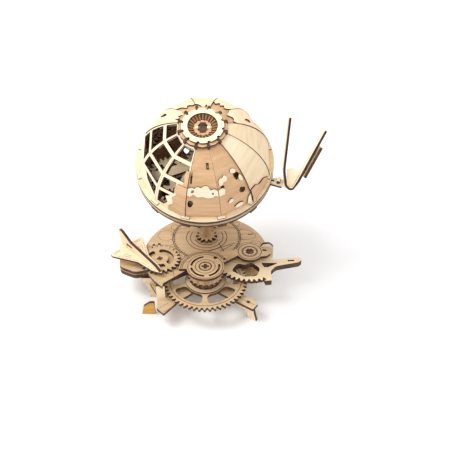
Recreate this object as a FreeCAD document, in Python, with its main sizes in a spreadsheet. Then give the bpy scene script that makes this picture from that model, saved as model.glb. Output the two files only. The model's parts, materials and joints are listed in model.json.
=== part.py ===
"""Geared mechanical globe on a low gear table, cut from plywood sheet.

Working frame while building: the table's round top plate is centred on x = y = 0, the ground is z = 0,
-Y is the front and +X the right.  Every sub-part is finally shifted by the origin cells, which puts
the file's origin under the middle of the whole assembly.
"""
import FreeCAD, Part
import math
import os
import re
import Sketcher

Vector = FreeCAD.Vector
doc = FreeCAD.newDocument("GearedGlobe")

# ---------------------------------------------------------------- driving dimensions, millimetres and degrees
DIMENSIONS = {
    "ply": 3.0, "skin": 1.5, "running": 0.05, "face_gap": 0.4,
    "origin_x": 8.585, "origin_y": 10.56,
    "module_table": 1.6, "module_planet": 1.5, "pressure_angle": 25.0,
    "main_teeth": 50, "spindle_teeth": 15, "drive_teeth": 20, "sector_teeth": 44,
    "crescent_teeth": 24, "idler_teeth": 10, "crown_teeth": 12, "south_teeth": 23,
    "planet_teeth": 24, "ring_teeth": 72,
    "main_y": -26.0, "spindle_y": 26.0, "crescent_angle": 162.0, "lever_angle": 30.5,
    "lower_z": 17.0, "top_z": 35.5, "gear_z": 23.5, "lever_z": 28.5, "table_radius": 63.0,
    "pin_radius": 3.0, "axle_radius": 4.0, "hub_lobe_radius": 13.2,
    "drum_radius": 16.4, "flange_radius": 19.8, "spool_radius": 18.4, "overlay_radius": 26.0,
    "tilt": 23.5, "globe_z": 130.0, "globe_radius": 60.4, "ring_radius": 66.0, "orbit_radius": 64.5,
    "ring_inner": 56.8, "ring_face": 1.9, "planet_first": 200.0, "gore_angle": 30.0,
    "polar_hole": 22.7, "polar_ring_radius": 22.5, "polar_ring_z": 54.5,
    "bracket_angle": 72.5, "axle_anchor": 80.0, "crown_z": 61.8, "south_drop": 66.4,
    "craft_seat": 73.0, "craft_lean": -20.0, "craft_depth": 11.0,
    "dock_x": -75.5, "dock_y": -0.5, "dock_turn": -46.0, "dock_z": 43.0, "pedestal_top": 66.5,
}

sheet = doc.addObject("Spreadsheet::Sheet", "Dims")
for row, (alias, number) in enumerate(DIMENSIONS.items(), start=1):
    sheet.set(f"A{row}", alias)
    sheet.set(f"B{row}", str(number))
    sheet.setAlias(f"B{row}", alias)
doc.recompute()


# ---------------------------------------------------------------- helpers
def linked(text):
    """Put the sheet's name before every cell alias in an expression."""
    return re.sub(r"[a-z_]+", lambda hit: "Dims." + hit[0] if hit[0] in DIMENSIONS else hit[0], str(text))


def number(text):
    """The present value of an expression on the sheet's cells."""
    found = sheet.evalExpression(linked(text))
    return float(getattr(found, "Value", found))


def bind(item, **sizes):
    """Bind an object's properties to expressions on the sheet."""
    for name, text in sizes.items():
        item.setExpression(name.replace("__", "."), linked(text))
    return item


def move(item, x=0, y=0, z=0, turn=0, axis=Vector(0, 0, 1)):
    """Place an object by expressions, turned about an axis by a fixed angle."""
    item.Placement = FreeCAD.Placement(Vector(), FreeCAD.Rotation(axis, number(turn)))
    return bind(item, Placement__Base__x=x, Placement__Base__y=y, Placement__Base__z=z)


sub_parts = []


def publish(item, node, x=0, y=0, z=0, turn=0):
    """Name a finished table sub-part and put it in the row frame."""
    item.Label = node
    move(item, f"({x}) - origin_x", f"({y}) - origin_y", z, turn)
    sub_parts.append(item)
    return item


def publish_globe(item, node, turn=0, local=Vector()):
    """Name a finished globe sub-part: its own Z is the globe's tilted axis, its -Y the front."""
    tilt = FreeCAD.Rotation(Vector(1, 0, 0), number("tilt"))
    spin = FreeCAD.Rotation(Vector(0, 0, 1), number(turn))
    centre = Vector(-number("origin_x"), number("spindle_y - origin_y"), number("globe_z"))
    item.Label = node
    item.Placement = FreeCAD.Placement(centre + tilt.multVec(local), tilt * spin)
    sub_parts.append(item)
    return item


def disc(name, radius, height, x=0, y=0, z=0):
    item = doc.addObject("Part::Cylinder", name)
    bind(item, Radius=radius, Height=height)
    return move(item, x, y, z)


def block(name, length, width, height, x=0, y=0, z=0, turn=0):
    item = doc.addObject("Part::Box", name)
    bind(item, Length=length, Width=width, Height=height)
    return move(item, x, y, z, turn)


def join(name, items):
    item = doc.addObject("Part::MultiFuse", name)
    item.Shapes = items
    item.Refine = True
    return item


def cut(name, base, tools):
    item = doc.addObject("Part::Cut", name)
    item.Base = base
    item.Tool = tools[0] if len(tools) == 1 else join(name + "Tools", tools)
    item.Refine = True
    return item


def body(name):
    return doc.addObject("PartDesign::Body", name)


def polar(radius, degrees, centre=(0, 0)):
    turn = math.radians(degrees)
    return (centre[0] + radius * math.cos(turn), centre[1] + radius * math.sin(turn))


def circle(radius, x=0, y=0):
    """A full circle, radius and place as expressions."""
    return ("circle", radius, x, y)


def outline(*corners):
    """A closed outline of straight sides: each corner is x, y and a rounding radius."""
    edges = []
    count = len(corners)
    entries = []
    exits = []
    arcs = []
    for index, corner in enumerate(corners):
        here = Vector(corner[0], corner[1], 0)
        radius = corner[2] if len(corner) > 2 else 0
        before = Vector(*corners[index - 1][:2], 0)
        after = Vector(*corners[(index + 1) % count][:2], 0)
        back = (before - here).normalize()
        ahead = (after - here).normalize()
        if radius == 0:
            entries.append(here)
            exits.append(here)
            arcs.append(None)
            continue
        half = back.getAngle(ahead) / 2
        reach = radius / math.tan(half)
        centre = here + (back + ahead).normalize() * (radius / math.sin(half))
        middle = centre + (here - centre).normalize() * radius
        entries.append(here + back * reach)
        exits.append(here + ahead * reach)
        arcs.append(middle)
    for index in range(count):
        if arcs[index] is not None:
            edges.append(Part.Arc(entries[index], arcs[index], exits[index]))
        edges.append(Part.LineSegment(exits[index], entries[(index + 1) % count]))
    return ("edges", edges)


def ring_window(inner, outer, first, last, rounding=0.0, centre=(0, 0)):
    """A window between two radii and two angles; its corners are rounded by short chamfer arcs."""
    step_out = math.degrees(rounding / outer)
    step_in = math.degrees(rounding / inner)
    at = lambda radius, degrees: Vector(*polar(radius, degrees, centre), 0)
    middle = (first + last) / 2
    edges = [Part.Arc(at(outer, first + step_out), at(outer, middle), at(outer, last - step_out)),
             Part.Arc(at(inner, last - step_in), at(inner, middle), at(inner, first + step_in))]
    if rounding == 0:
        edges.insert(1, Part.LineSegment(at(outer, last), at(inner, last)))
        edges.append(Part.LineSegment(at(inner, first), at(outer, first)))
        return ("edges", edges)
    bend = 0.29                                 # how far a corner arc's middle lies inside the corner
    corner = lambda radius, sign, degrees, step: at(radius + sign * bend * rounding, degrees + bend * step)
    edges[1:1] = [Part.Arc(at(outer, last - step_out), corner(outer, -1, last, -step_out),
                           at(outer - rounding, last)),
                  Part.LineSegment(at(outer - rounding, last), at(inner + rounding, last)),
                  Part.Arc(at(inner + rounding, last), corner(inner, 1, last, -step_in),
                           at(inner, last - step_in))]
    edges += [Part.Arc(at(inner, first + step_in), corner(inner, 1, first, step_in),
                       at(inner + rounding, first)),
              Part.LineSegment(at(inner + rounding, first), at(outer - rounding, first)),
              Part.Arc(at(outer - rounding, first), corner(outer, -1, first, step_out),
                       at(outer, first + step_out))]
    return ("edges", edges)


def plus_hole(x, y, length=5.2, width=1.9):
    """The cross-shaped hole that the kit's toothpick axles leave."""
    long, thin = length / 2, width / 2
    corners = [(thin, long), (thin, thin), (long, thin), (long, -thin), (thin, -thin), (thin, -long),
               (-thin, -long), (-thin, -thin), (-long, -thin), (-long, thin), (-thin, thin), (-thin, long)]
    return outline(*[(x + dx, y + dy) for dx, dy in corners])


def slot(length, width, reach, turn, centre=(0, 0)):
    """A rectangular slot along a ray from a centre, starting at a distance from it."""
    along = Vector(*polar(1, turn), 0)
    across = Vector(-along.y, along.x, 0)
    half, end = width / 2, reach + length
    corners = [along * far + across * side for far, side in
               ((reach, -half), (end, -half), (end, half), (reach, half))]
    return outline(*[(corner.x + centre[0], corner.y + centre[1]) for corner in corners])


def sketch(owner, name, loops, plane="XY_Plane"):
    """A sketch on one of the body's own origin planes, holding closed loops."""
    item = owner.newObject("Sketcher::SketchObject", name)
    support = [one for one in owner.Origin.OriginFeatures if one.Role == plane][0]
    item.AttachmentSupport = [(support, "")]
    item.MapMode = "FlatFace"
    for kind, *data in loops:
        if kind == "circle":
            radius, x, y = data
            place = Vector(number(x), number(y), 0)
            index = item.addGeometry(Part.Circle(place, Vector(0, 0, 1), number(radius)), False)
            size = item.addConstraint(Sketcher.Constraint("Radius", index, number(radius)))
            item.setExpression(f"Constraints[{size}]", linked(radius))
            for axis, offset in (("DistanceX", x), ("DistanceY", y)):
                held = item.addConstraint(Sketcher.Constraint(axis, -1, 1, index, 3, number(offset)))
                item.setExpression(f"Constraints[{held}]", linked(offset))
        else:
            first = item.GeometryCount
            for edge in data[0]:
                item.addGeometry(counter_clockwise(edge), False)
            last = item.GeometryCount
            joins = []
            for index in range(first, last):
                after = index + 1 if index + 1 < last else first
                joins.append(Sketcher.Constraint("Coincident", index, end_of(item, index, after),
                                                 after, end_of(item, after, index)))
            item.addConstraint(joins)
    return item


def counter_clockwise(edge):
    """A sketch keeps its arcs counter-clockwise, so a clockwise one is drawn from its other end."""
    shape = edge.toShape()
    if isinstance(edge, Part.LineSegment) or shape.Curve.Axis.z > 0:
        return edge
    middle = shape.valueAt((shape.FirstParameter + shape.LastParameter) / 2)
    return Part.Arc(edge.EndPoint, middle, edge.StartPoint)


def end_of(item, index, other):
    """Which end of one sketch edge touches another edge: 1 for its start, 2 for its end."""
    near = lambda a, b: a.distanceToPoint(b) < 1e-4
    mine = item.Geometry[index]
    theirs = item.Geometry[other]
    for end, point in ((2, mine.EndPoint), (1, mine.StartPoint)):
        if near(point, theirs.StartPoint) or near(point, theirs.EndPoint):
            return end
    raise ValueError(f"open outline at edge {index}")


def pad(owner, name, loops, thickness="ply", start=0, plane="XY_Plane"):
    profile = sketch(owner, name + "Sketch", loops, plane)
    if start != 0:
        profile.setExpression("AttachmentOffset.Base.z", linked(start))
    item = owner.newObject("PartDesign::Pad", name)
    item.Profile = profile
    bind(item, Length=thickness)
    doc.recompute()
    return item


def pocket(owner, name, loops, turn=0):
    """Cut loops right through the body, both ways from its sketch plane."""
    profile = sketch(owner, name + "Sketch", loops)
    profile.AttachmentOffset = FreeCAD.Placement(Vector(), FreeCAD.Rotation(Vector(0, 0, 1), turn))
    before = owner.Tip.Shape.Volume
    item = owner.newObject("PartDesign::Pocket", name)
    item.Profile = profile
    item.Type = "ThroughAll"
    item.Midplane = True
    doc.recompute()
    if item.Shape.Volume >= before:
        raise RuntimeError(f"{name} removes nothing")
    return item


def repeat(owner, name, feature, count, angle=360):
    """A pattern of a feature about the body's Z axis."""
    item = owner.newObject("PartDesign::PolarPattern", name)
    item.Originals = [feature]
    item.Axis = ([one for one in owner.Origin.OriginFeatures if one.Role == "Z_Axis"][0], [""])
    item.Angle = angle
    bind(item, Occurrences=count)
    owner.Tip = item
    doc.recompute()
    return item


# ---------------------------------------------------------------- gear teeth
def flank_angle(module, teeth, radius, thin):
    """Half the angle that a tooth fills at a radius, on an involute flank."""
    pressure = math.radians(number("pressure_angle"))
    pitch = module * teeth / 2
    base = pitch * math.cos(pressure)
    slope = math.acos(min(1, base / radius))
    involute = lambda angle: math.tan(angle) - angle
    return (math.pi * module / 2 - thin) / (2 * pitch) + involute(pressure) - involute(slope)


ADDENDUM = 0.85
DEDENDUM = 1.15


def tooth_gap(module, teeth, thin=0.2, addendum=ADDENDUM, dedendum=DEDENDUM):
    """The gap between two outside teeth, centred on the X axis."""
    pitch = module * teeth / 2
    base = pitch * math.cos(math.radians(number("pressure_angle")))
    root = pitch - dedendum * module
    tip = pitch + addendum * module
    radii = [max(root, base) + 0.01, pitch, tip]
    sides = [(radius, math.pi / teeth - flank_angle(module, teeth, radius, thin)) for radius in radii]
    sides = [(root, sides[0][1] * 0.8)] + sides + [(tip + 0.6, sides[-1][1])]
    upper = [(radius * math.cos(angle), radius * math.sin(angle)) for radius, angle in sides]
    return outline(*upper, *[(x, -y) for x, y in reversed(upper)])


def inner_tooth_gap(module, teeth, thin=0.2):
    """The gap between two teeth of a gear with its teeth on the inside."""
    pitch = module * teeth / 2
    tip = pitch - ADDENDUM * module
    root = pitch + DEDENDUM * module
    radii = [tip, pitch, root]
    sides = [(radius, flank_angle(module, teeth, radius, -thin)) for radius in radii]
    sides = [(tip - 0.6, sides[0][1])] + sides
    upper = [(radius * math.cos(angle), radius * math.sin(angle)) for radius, angle in sides]
    return outline(*upper, *[(x, -y) for x, y in reversed(upper)])


def spur_gear(name, module, teeth, bore, thickness="ply", windows=(), thin=0.2,
              addendum=ADDENDUM, dedendum=DEDENDUM):
    """A flat gear in a body of its own, with a tooth gap on its X axis.

    windows is a list of (name, loops, count): each is cut and repeated count times round the gear.
    """
    owner = body(name)
    tip = f"{module} * {teeth} / 2 + {addendum} * {module}"
    pad(owner, "Blank" + name, [circle(tip), circle(bore)], thickness)
    for label, loops, count in windows:
        opening = pocket(owner, label + name, loops)
        if count > 1:
            repeat(owner, label + "Pattern" + name, opening, count)
    gap = pocket(owner, "Gap" + name, [tooth_gap(number(module), number(teeth), thin, addendum, dedendum)])
    repeat(owner, "Teeth" + name, gap, teeth)
    return owner


# ---------------------------------------------------------------- places worked out from the gears
MAIN = (0.0, number("main_y"))
SPINDLE = (0.0, number("spindle_y"))
CRESCENT = polar(number("module_table * (main_teeth + idler_teeth) / 2"), number("crescent_angle"), MAIN)
LEVER = polar(number("module_table * (drive_teeth + sector_teeth) / 2"), number("lever_angle"), MAIN)
DOCK = (number("dock_x"), number("dock_y"))
SLIP = "pin_radius + running"
AXLE_SLIP = "axle_radius + running"
MIDDLE_Z = number("ring_face + ply")            # top of the globe's equator ring, above its centre
FRONT_LEG_TURN = -34
FRONT_LEG_TABS = (33.5, 46.5)
FRONT_LEG_ROOT = polar(3.5, FRONT_LEG_TURN + 90, MAIN)    # the leg stands off the tongue's middle line
LEFT_LEG_Y = -22
REAR_LEG_TURNS = (46, 134)


# ---------------------------------------------------------------- the table
def lower_plate():
    owner = body("LowerPlate")
    edge = outline((-9, -34, 3), (-26.3, -48.9, 2), (-39.3, -66, 1), (-46.6, -58.3, 1), (-46.8, -41.1, 2),
                   (-56, -24, 5), (-57, -2, 7), (-38, 10, 5), (-40, 34, 4), (-50, 45, 2), (-43, 52, 2),
                   (-30, 42, 5), (-12, 46, 6), (12, 46, 6), (30, 42, 5), (43, 52, 2), (50, 45, 2),
                   (40, 34, 4), (38, 12, 5), (55, 11, 8), (56, -9, 8), (36, -18, 5), (30, -37.5, 2),
                   (45, -44.2, 2), (51.3, -52.4, 1), (46.1, -60.1, 1), (9, -34, 3))
    pad(owner, "LowerBlank", [edge])
    pocket(owner, "LowerBores", [circle(SLIP, *MAIN), circle(AXLE_SLIP, *SPINDLE), circle(SLIP, *CRESCENT),
                                 circle("axle_radius", *LEVER)])
    windows = [outline((-13, -20, 2), (-38, -36, 2), (-40, -22, 2), (-16, -6, 2)),
               outline((13, -20, 2), (26, -31, 2), (28, -16, 2), (16, -6, 2))]
    ply = number("ply")
    slots = [slot(3.4, ply, start, FRONT_LEG_TURN, FRONT_LEG_ROOT) for start in FRONT_LEG_TABS]
    slots += [slot(8.5, ply, 54, turn) for turn in REAR_LEG_TURNS]
    half = ply / 2 + 0.05
    slots.append(outline((-62, LEFT_LEG_Y - half), (-51.6, LEFT_LEG_Y - half), (-51.6, LEFT_LEG_Y + half),
                         (-62, LEFT_LEG_Y + half)))
    pocket(owner, "LowerWindows", windows + slots)
    publish(owner, "lower_plate", z="lower_z")


def top_plate():
    owner = body("TopPlate")
    far = 95
    pad(owner, "TopBlank", [circle("table_radius")])
    pocket(owner, "FrontOpening", [outline((-40.7, -43.5, 3), (-20.4, -26.0), (0, -24), (17, -13), (30, 1),
                                           (far, 1), (far, -far), (-40.7, -far))])
    squares = [outline(*[(x + dx, y + dy) for dx, dy in ((-1.3, -1.1), (1.3, -1.1), (1.3, 1.1), (-1.3, 1.1))])
               for x, y in ((-54.5, 9.5), (-49, 11), (-54, 13.5), (-48.5, 15))]
    pocket(owner, "TopBores", [circle("drum_radius + 0.8", *MAIN), circle(AXLE_SLIP, *SPINDLE),
                               circle(SLIP, *CRESCENT), circle("axle_radius", *LEVER)] + squares)
    publish(owner, "top_plate", z="top_z")


def overlay_plate():
    owner = body("OverlayPlate")
    pad(owner, "OverlayBlank", [circle("overlay_radius", *MAIN)])
    pocket(owner, "OverlayFront", [outline((-40, -25.5), (-20.4, -26.0), (0, -24), (18.6, -16.4), (33.2, -5.4),
                                           (60, -5.4), (60, -70), (-40, -70))])
    pad(owner, "OverlayArm", [outline((12, -9), (18.6, -16.4), (33.2, -5.4), (37, 6), (24, 1.5, 6), (14, -1))])
    pad(owner, "OverlayHub", [circle("hub_lobe_radius", *LEVER)])
    pad(owner, "OverlayClasp", [outline((50, -8.6), (61, -6.8, 2.5), (65, -3, 3), (65, 4, 3), (62, 6.8, 2),
                                        (56.4, 6.2, 1.2), (56.4, 3.2, 0.6), (61, 2.6, 0.8), (61, 0.6, 0.6),
                                        (50, 0.8))])
    pocket(owner, "OverlayBores", [circle("drum_radius + running", *MAIN), circle("axle_radius", *LEVER),
                                   circle(1.4, 18.6, -11.6)])
    pocket(owner, "OverlayCrescent", [ring_window(18.7, 21.7, 62, 126, 1.4, MAIN)])
    publish(owner, "overlay_plate", z="top_z + ply")


def upright(name, node, loops, x, y, z, turn):
    """A vertical plate: its outline is drawn in a plane whose X runs outwards and whose Y is up."""
    owner = body(name)
    pad(owner, name + "Blank", loops, "ply", "-ply / 2", plane="XZ_Plane")
    publish(owner, node, x, y, z, turn)


def legs_and_walls():
    near, far = FRONT_LEG_TABS
    arch = [outline((30, 17), (near, 17), (near, 20), (near + 3.4, 20), (near + 3.4, 17), (far, 17), (far, 20),
                    (far + 3.4, 20), (far + 3.4, 17), (54.5, 17), (56, 9, 4), (58.5, 0), (49.5, 0), (47, 8, 4),
                    (36, 11, 6))]
    upright("LegFrontRight", "leg_front_right", arch, *FRONT_LEG_ROOT, 0, FRONT_LEG_TURN)
    shelf = number("top_z - 3 * ply")
    side = [outline((-51.7, shelf), (-64, shelf), (-61, 19, 8), (-56.5, 9, 6), (-57.5, 0), (-46, 0),
                    (-48.5, 7, 4), (-51.7, 14, 3))]
    upright("LegFrontLeft", "leg_front_left", side, 0, LEFT_LEG_Y, 0, 0)
    table = number("top_z")
    rear = [outline((38, 17), (38, 11, 5), (50, 9, 6), (56, 0), (66, 0), (65, 12, 8), (60, 20, 6),
                    (59.5, table), (54, table), (54, 17))]
    for turn, label in zip(REAR_LEG_TURNS, ("right", "left")):
        upright("LegRear" + label.capitalize(), "leg_rear_" + label, rear, 0, 0, 0, turn)
    foot = [outline((-8, 0), (5, 0), (5, 15, 1), (0, 15, 4), (-6, 10, 4))]
    upright("FootPad", "foot_pad", foot, -55, -45.5, 0, 0)
    rise = number("top_z - lower_z - ply")
    wall = [outline((-4, 0), (4.5, 0), (4.5, rise), (-4, rise))]
    upright("LeftWall", "left_wall", wall, -43.5, -43, "lower_z + ply", 0)
    deck = table + number("ply")
    hook = [outline((56, deck), (63.2, deck), (63.2, 26), (68.4, 26, 1), (68.4, 41, 4), (64, 45.5, 4),
                    (57.5, 44.5, 2.5), (55.4, 41, 1))]
    upright("LockHook", "lock_hook", hook, 0, 8.6, 0, 0)


def docking_pad():
    """The two-layer pad at the left, and the stand on it that holds the shuttle."""
    wide = [outline((-52.5, -20, 3), (-70, -24, 8), (-86, -16, 9), (-88, 5, 8), (-74, 18, 8), (-52.5, 14, 3))]
    narrow = [outline((-53.5, -18.5, 3), (-70, -22.5, 8), (-84.5, -15, 9), (-86.5, 4, 8), (-74, 17, 8),
                      (-53.5, 13, 3))]
    owner = body("DockPad")
    pad(owner, "DockLower", wide, "1.5 * ply")
    pad(owner, "DockCore", narrow, "3 * ply")
    pad(owner, "DockUpper", wide, "ply", "2 * ply")
    publish(owner, "dock_pad", z="top_z - 3 * ply")
    stand = [outline((-7, 0), (7, 0), (7, 7.4), (4, 7.4), (4, 13), (-4, 13), (-4, 7.4), (-7, 7.4))]
    owner = body("DockStand")
    pad(owner, "DockStandBlank", stand, "ply - 0.4", "0.2 - ply / 2", plane="XZ_Plane")
    publish(owner, "dock_stand", "dock_x", "dock_y", "top_z", number("dock_turn"))


def pedestal():
    """Two cheeks behind the spindle and the sloped block between them, which grips the globe's axle."""
    rise = number("pedestal_top - top_z - ply")
    profile = [outline((-26, 0), (-1, 0), (-3, rise, 2), (-21, rise - 7.8, 2))]
    for side, label in ((-1, "left"), (1, "right")):
        owner = body("Pedestal" + label.capitalize())
        pad(owner, "Cheek" + label, profile, "ply", "-ply / 2", plane="YZ_Plane")
        publish(owner, "pedestal_" + label, f"{side} * 8.5", 67, "top_z + ply")
    owner = body("AxleBlock")
    shape = [outline((-7, -8, 1), (7, -8, 1), (7, 8, 1), (-7, 8, 1)), circle("axle_radius")]
    pad(owner, "AxleBlockBlank", shape, 9)
    publish_globe(owner, "axle_block", local=Vector(0, 0, -number("axle_anchor")))


def fixed_axles():
    axle = disc("AxleRod", "axle_radius", "axle_anchor + 57")
    groove = block("AxleSlot", 2, 6, 5, -1, -3, "axle_anchor + 53")
    publish_globe(cut("GlobeAxle", axle, [groove]), "globe_axle", local=Vector(0, 0, -number("axle_anchor")))
    stem = disc("LeverStem", "axle_radius", "top_z + 2 * ply - lower_z")
    socket = block("LeverSocket", 1.9, 5.2, 4, -0.95, -2.6, "top_z + 2 * ply - lower_z - 3")
    other = block("LeverSocketAcross", 5.2, 1.9, 4, -2.6, -0.95, "top_z + 2 * ply - lower_z - 3")
    publish(cut("LeverAxle", stem, [socket, other]), "lever_axle", *LEVER, z="lower_z")
    sun = spur_gear("SunGear", "module_planet", "planet_teeth", "axle_radius",
                    windows=[("Pie", [ring_window(7.5, 13.5, 15, 75, 1.5)], 4)])
    publish_globe(sun, "sun_gear", f"planet_first - 180 / {number('planet_teeth')}",
                  Vector(0, 0, -number("ply") / 2))


# ---------------------------------------------------------------- moving pieces on the table
def lever():
    """The push lever: a toothed sector and an arm, in two layers glued together."""
    module = number("module_table")
    teeth = number("sector_teeth")
    toothed = module * teeth / 2 + ADDENDUM * module
    plain = module * teeth / 2 - DEDENDUM * module - number("face_gap")
    pitch_angle = 360 / teeth
    to_pinion = 180 + number("lever_angle")     # a gap of the sector points at the drive pinion
    first, last = 197.5, 301.0
    for layer, (label, tip) in enumerate((("lower", plain), ("upper", toothed))):
        owner = body("Lever" + label.capitalize())
        start = Vector(*polar(tip, first), 0)
        end = Vector(*polar(tip, last), 0)
        fan = [Part.Arc(start, Vector(*polar(tip, (first + last) / 2), 0), end),
               Part.LineSegment(end, Vector(17, -12, 0)), Part.LineSegment(Vector(17, -12, 0), Vector(0, 0, 0)),
               Part.LineSegment(Vector(0, 0, 0), start)]
        pad(owner, "Fan" + label, [("edges", fan)])
        pad(owner, "Hub" + label, [circle(9.5)])
        pad(owner, "Arm" + label, [
            outline((3, 9, 3), (14, 1.5, 12), (24, -4.2, 8), (36, -3, 10), (49.4, -0.2, 3), (53.4, -4.5, 2.6),
                    (49, -8.6, 3), (37, -11.5, 12), (25.8, -14.6, 7), (20.4, -21.5, 6), (20.6, -27.6),
                    (20.8, -34.9, 0.6), (14.8, -35.6), (10, -20), (-4, -4))])
        pocket(owner, "Windows" + label, [
            circle(AXLE_SLIP),
            outline((-18.5, -21, 3.2), (-12.5, -10.2, 4), (-5.4, -12.6, 4), (2, -8.6, 4), (10.2, -18, 5),
                    (6.5, -29, 5), (-7, -29.6, 6)),
            outline((11.4, -9.4, 0.8), (28.4, -9.9, 0.4), (17.6, -16.2, 3), (15.6, -19.5, 0.8)),
            outline((38.3, -7.2), (44.9, -6.9), (44.8, -4.9), (38.2, -5.2))])
        if tip == toothed:
            steps = int((last - 3 - to_pinion) / pitch_angle)
            back = int((to_pinion - first) / pitch_angle)
            gap = pocket(owner, "Gap" + label, [tooth_gap(module, teeth)], to_pinion - back * pitch_angle)
            repeat(owner, "Teeth" + label, gap, steps + back + 1, (steps + back) * pitch_angle)
        publish(owner, "lever_" + label, *LEVER, z=f"lever_z + {layer} * ply")


def drive_pinion():
    owner = spur_gear("DrivePinion", "module_table", "drive_teeth", SLIP)
    publish(owner, "drive_pinion", *MAIN, "lever_z + ply", "lever_angle - 180 / drive_teeth")


def main_shaft():
    spoke = 5.2                                 # width of a spoke, and the first one points to the front
    turn = 90 - 180 / number("main_teeth")
    first = -90 - turn
    half = math.degrees(spoke / 2 / 27)
    window = ring_window(20.4, 33.2, first + half, first + 72 - half, 4.2)
    owner = spur_gear("MainGear", "module_table", "main_teeth", "pin_radius", windows=[("Window", [window], 5)])
    publish(owner, "main_gear", *MAIN, "gear_z", turn)
    step = "lever_z - face_gap - gear_z - ply"  # up to the lever; the boss stands on it
    flange = body("GearFlange")
    pad(flange, "FlangeBlank", [circle("flange_radius"), circle("pin_radius")], step)
    boss = body("GearBoss")
    pad(boss, "BossBlank", [circle("drum_radius - 1"), circle("pin_radius")])
    move(boss, z=step)
    collars = doc.addObject("Part::Compound", "GearCollars")
    collars.Links = [flange, boss]
    publish(collars, "gear_collars", *MAIN, "gear_z + ply")
    owner = body("Drum")
    pad(owner, "DrumNeck", [circle("drum_radius"), circle("pin_radius")], "top_z - lever_z")
    publish(owner, "drum", *MAIN, "lever_z + 2 * ply + face_gap")
    owner = body("SpoolDisc")
    slots = [ring_window(12.6, 14.8, first_angle, last_angle, 0.9)
             for first_angle, last_angle in ((98, 176), (188, 268), (286, 374))]
    pad(owner, "SpoolBlank", [circle("spool_radius")])
    pocket(owner, "SpoolSlots", slots + [circle(1.9, 9.6, 12.6), plus_hole(0, 0)])
    publish(owner, "spool_disc", *MAIN, "top_z + 2 * ply + face_gap")
    rod = disc("FrontAxleRod", "pin_radius", "top_z + 2 * ply + face_gap - lower_z + ply")
    publish(rod, "front_axle", *MAIN, "lower_z - ply")


def spindle():
    turn = -90                                  # a gap of the small gear faces the main gear's tooth
    owner = spur_gear("SpindleGear", "module_table", "spindle_teeth", "axle_radius")
    publish(owner, "spindle_gear", *SPINDLE, "gear_z", turn)
    rod = disc("SpindleRod", "axle_radius", "crown_z + ply - lower_z + ply")
    publish(rod, "spindle_shaft", *SPINDLE, "lower_z - ply")
    collar = spur_gear("SpindleCollar", "module_table", "crown_teeth", "axle_radius")
    publish(collar, "spindle_collar", *SPINDLE, "top_z + ply + face_gap", 15)
    crown = spur_gear("CrownPinion", "module_table", "crown_teeth", "axle_radius", thin=0.62,
                      addendum=0.5, dedendum=1.35)
    publish(crown, "crown_pinion", *SPINDLE, "crown_z - ply / 2", 90 - 180 / number("crown_teeth"))


def crescent():
    pinion = spur_gear("IdlerPinion", "module_table", "idler_teeth", "pin_radius - 0.5")
    pad(pinion, "CrescentRod", [circle("pin_radius")], "top_z + 2 * ply + face_gap - lower_z + ply",
        "lower_z - ply - gear_z")
    publish(pinion, "crescent_shaft", *CRESCENT, "gear_z", "crescent_angle + 180")
    windows = [("Moon", [ring_window(8.2, 13.8, -42, 98, 2.2)], 1),
               ("Slots", [ring_window(8.6, 13.6, first, last, 1.4)
                          for first, last in ((122, 164), (178, 222), (236, 300))], 1)]
    owner = spur_gear("CrescentGear", "module_table", "crescent_teeth", "pin_radius", windows=windows)
    publish(owner, "crescent_gear", *CRESCENT, "top_z + ply + face_gap", 0)


# ---------------------------------------------------------------- the globe
def equator_rings():
    """Two rings with three arms each; pins between the arms carry the planet gears."""
    seat = number("module_planet * planet_teeth")
    for side, label in ((1, "north"), (-1, "south")):
        owner = body(label.capitalize() + "Ring")
        pad(owner, "Rim" + label, [circle("ring_radius"), circle("ring_inner")])
        for index in range(3):
            swing = number("planet_first") + 120 * index
            bar = [polar(reach, swing + side_angle) for reach, side_angle in
                   ((6, -50), (58, -5), (58, 5), (6, 50))]
            pad(owner, f"Arm{label}{index}", [outline(*bar)])
        pad(owner, "Hub" + label, [circle(9)])
        pocket(owner, "Bore" + label, [circle(AXLE_SLIP)])
        if side == 1:
            drop = number("ring_face")
        else:
            drop = -number("ring_face + ply")
            for index in range(3):
                place = polar(seat, number("planet_first") + 120 * index)
                pad(owner, f"Pin{index}", [circle("pin_radius", *place)], "ply + 2 * ring_face")
        publish_globe(owner, label + "_ring", local=Vector(0, 0, drop))


def planets():
    seat = number("module_planet * planet_teeth")
    for index in range(3):
        swing = number("planet_first") + 120 * index
        owner = spur_gear(f"PlanetGear{'ABC'[index]}", "module_planet", "planet_teeth", SLIP,
                          windows=[("Pie", [ring_window(6.5, 13.2, 12, 78, 1.5)], 4)])
        publish_globe(owner, f"planet_gear_{index + 1}", swing,
                      Vector(*polar(seat, swing), -number("ply") / 2))


def orbit_ring():
    owner = body("OrbitRing")
    tip = f"module_planet * ring_teeth / 2 - {ADDENDUM} * module_planet"
    pad(owner, "OrbitBlank", [circle("orbit_radius"), circle(tip)])
    gap = pocket(owner, "OrbitGap", [inner_tooth_gap(number("module_planet"), number("ring_teeth"))])
    repeat(owner, "OrbitTeeth", gap, "ring_teeth")
    publish_globe(owner, "orbit_ring", f"planet_first - 180 / {number('ring_teeth')}",
                  Vector(0, 0, -number("ply") / 2))


def craft_bracket():
    """A forked arm on the orbit ring, with an upright tongue for the craft's slot."""
    inner = "orbit_radius - 0.6"
    arm = block("BracketArm", "craft_seat + 4 - orbit_radius + 0.6", 7, "ply", inner, -3.5, "-ply / 2")
    collar = disc("BracketCollar", "orbit_radius", 20, z=-10)
    fork = block("BracketSlot", 9, 2.4, 9, "craft_seat - 12", -1.2, -4)
    tongue = block("BracketTongue", "ply", 5, 9.4, "craft_seat - ply / 2", -2.5, "-ply / 2")
    trimmed = cut("BracketTrimmed", arm, [collar, fork])
    publish_globe(join("CraftBracket", [trimmed, tongue]), "craft_bracket", "bracket_angle - 90")


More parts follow.
